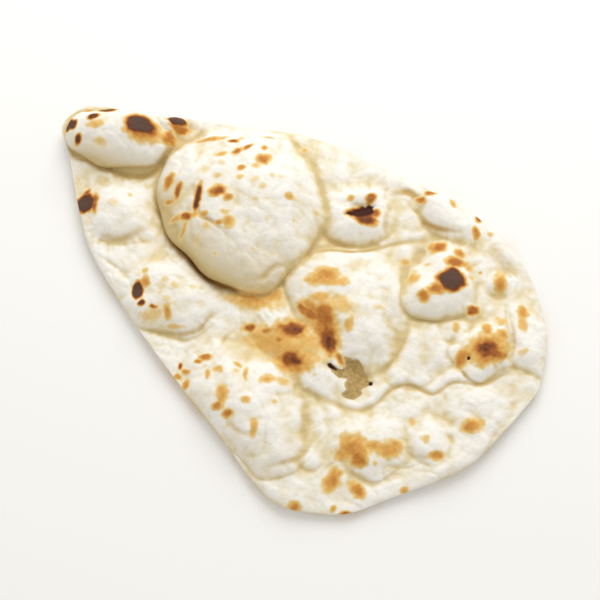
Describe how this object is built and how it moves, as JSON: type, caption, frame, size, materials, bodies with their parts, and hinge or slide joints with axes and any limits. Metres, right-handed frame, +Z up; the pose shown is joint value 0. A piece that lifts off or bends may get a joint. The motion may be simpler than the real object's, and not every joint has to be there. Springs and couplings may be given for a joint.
{
  "type": "naan bread",
  "caption": "Leaf-shaped naan flatbread with puffed blisters, creases and char spots on top and a flat underside to lie on.",
  "frame": {"origin": "middle of the bread's box at the resting plane, on the flat underside", "axes": "+X along the bread from the narrow tip to the broad end, +Y across it, +Z up from the flat underside to the blistered top"},
  "size_m": [0.346, 0.223, 0.0333],
  "materials": {
    "naan_crust": null
  },
  "bodies": {
    "root": {"naan": "naan_crust"}
  },
  "joints": []
}
